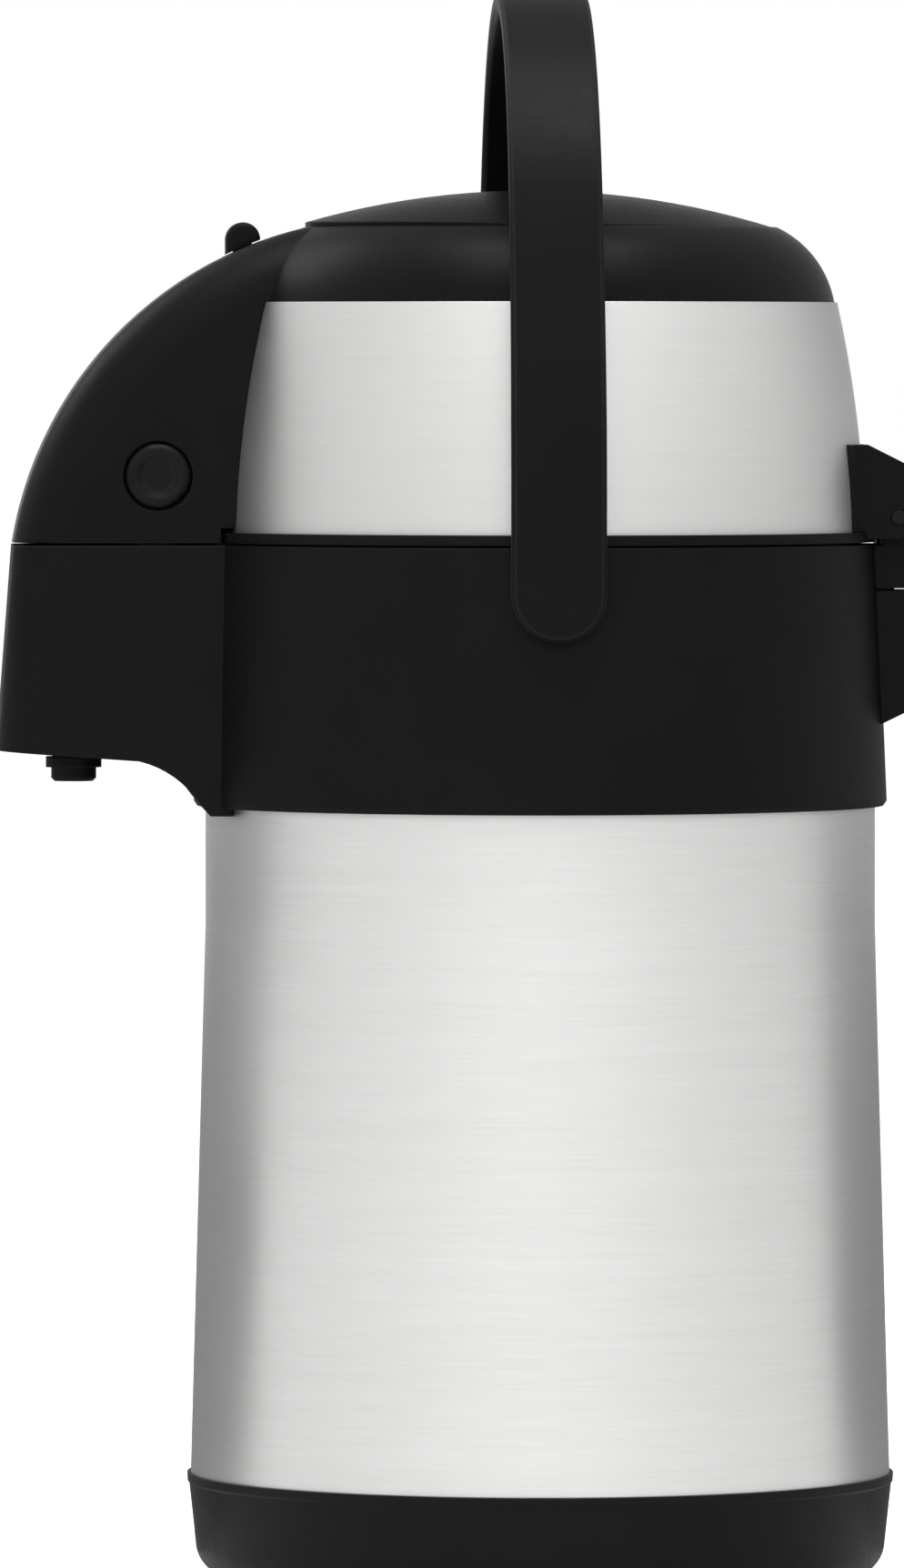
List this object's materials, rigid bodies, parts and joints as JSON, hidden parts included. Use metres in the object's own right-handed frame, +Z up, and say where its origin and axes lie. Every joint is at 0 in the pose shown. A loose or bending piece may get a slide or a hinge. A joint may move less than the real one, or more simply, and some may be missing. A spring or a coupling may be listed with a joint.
{
  "type": "airpot",
  "caption": "Pump-action vacuum airpot: tapered brushed steel body, black beak-shaped spout, rear-hinged pump lid, strap handle.",
  "frame": {"origin": "centre of the round body on the plane it stands on", "axes": "+Z up along the body's axis, -Y towards the spout, +Y towards the lid hinge, +X to the side"},
  "size_m": [0.1762, 0.2247, 0.3872],
  "materials": {
    "black_plastic": "fine satin grain, black",
    "brushed_steel": "horizontal fine brushing",
    "liner_steel": "drawn, satin",
    "tube_steel": "polished stainless tube",
    "fastener_steel": "plated",
    "spring_steel": "drawn wire",
    "grey_plastic": "moulded, satin",
    "black_rubber": "matte",
    "silicone": "translucent silicone",
    "bellows_rubber": "soft moulded"
  },
  "bodies": {
    "pot": {"base_cup": "black_plastic", "foot_ring": "black_rubber", "outer_shell": "brushed_steel", "shell_bottom": "liner_steel", "flask_liner": "liner_steel", "neck_gasket": "silicone", "collar": "black_plastic", "tube_holder": "grey_plastic", "dip_tube": "tube_steel", "delivery_pipe": "tube_steel", "nozzle": "black_plastic", "hinge_bracket": "black_plastic", "hinge_cover": "black_plastic", "hinge_screws": "fastener_steel", "hinge_pin": "fastener_steel"},
    "bail_pivots": {"bail_pins": "fastener_steel"},
    "handle": {"bail": "black_plastic"},
    "lid": {"lid_base": "black_plastic", "lid_band": "brushed_steel", "lid_top": "black_plastic", "lid_hinge_arm": "black_plastic", "hinge_arm_screws": "fastener_steel", "lid_screws": "fastener_steel", "lid_gasket": "silicone", "bellows_base": "grey_plastic", "air_valve": "black_rubber", "bellows": "bellows_rubber", "bellows_spring": "spring_steel"},
    "pump": {"pump_plate": "black_plastic"},
    "lock": {"lock_lever": "black_plastic"},
    "button_left": {"side_button_left": "black_plastic", "button_spring_left": "spring_steel"},
    "button_right": {"side_button_right": "black_plastic", "button_spring_right": "spring_steel"}
  },
  "joints": [
    {"name": "lid_hinge", "type": "hinge", "parent": "pot", "child": "lid", "pos_m": [0, 0.086, 0.2593], "axis": [-1, 0, 0], "range_deg": [0, 62]},
    {"name": "bail_pin_turn", "type": "hinge", "parent": "pot", "child": "bail_pivots", "pos_m": [0, 0, 0.2415], "axis": [-1, 0, 0], "range_deg": [0, 131]},
    {"name": "bail_swing", "type": "hinge", "parent": "bail_pivots", "child": "handle", "pos_m": [0, 0, 0.2415], "axis": [1, 0, 0], "range_deg": [-130, 0]},
    {"name": "pump_press", "type": "slide", "parent": "lid", "child": "pump", "axis": [0, 0, -1], "range_m": [0, 0.02], "stiffness_N_per_m": 400, "springref_m": -0.01, "deforming": ["bellows", "bellows_spring"]},
    {"name": "lock_slide", "type": "slide", "parent": "lid", "child": "lock", "axis": [0, -0.92, -0.3919], "range_m": [-0.006, 0]},
    {"name": "button_left_press", "type": "slide", "parent": "lid", "child": "button_left", "axis": [1, 0, 0], "range_m": [0, 0.003], "stiffness_N_per_m": 500, "springref_m": -0.002},
    {"name": "button_right_press", "type": "slide", "parent": "lid", "child": "button_right", "axis": [-1, 0, 0], "range_m": [0, 0.003], "stiffness_N_per_m": 500, "springref_m": -0.002}
  ],
  "couplings": [
    {"joint": "bail_pin_turn", "follows": "lid_hinge", "ratio": 2.1}
  ]
}
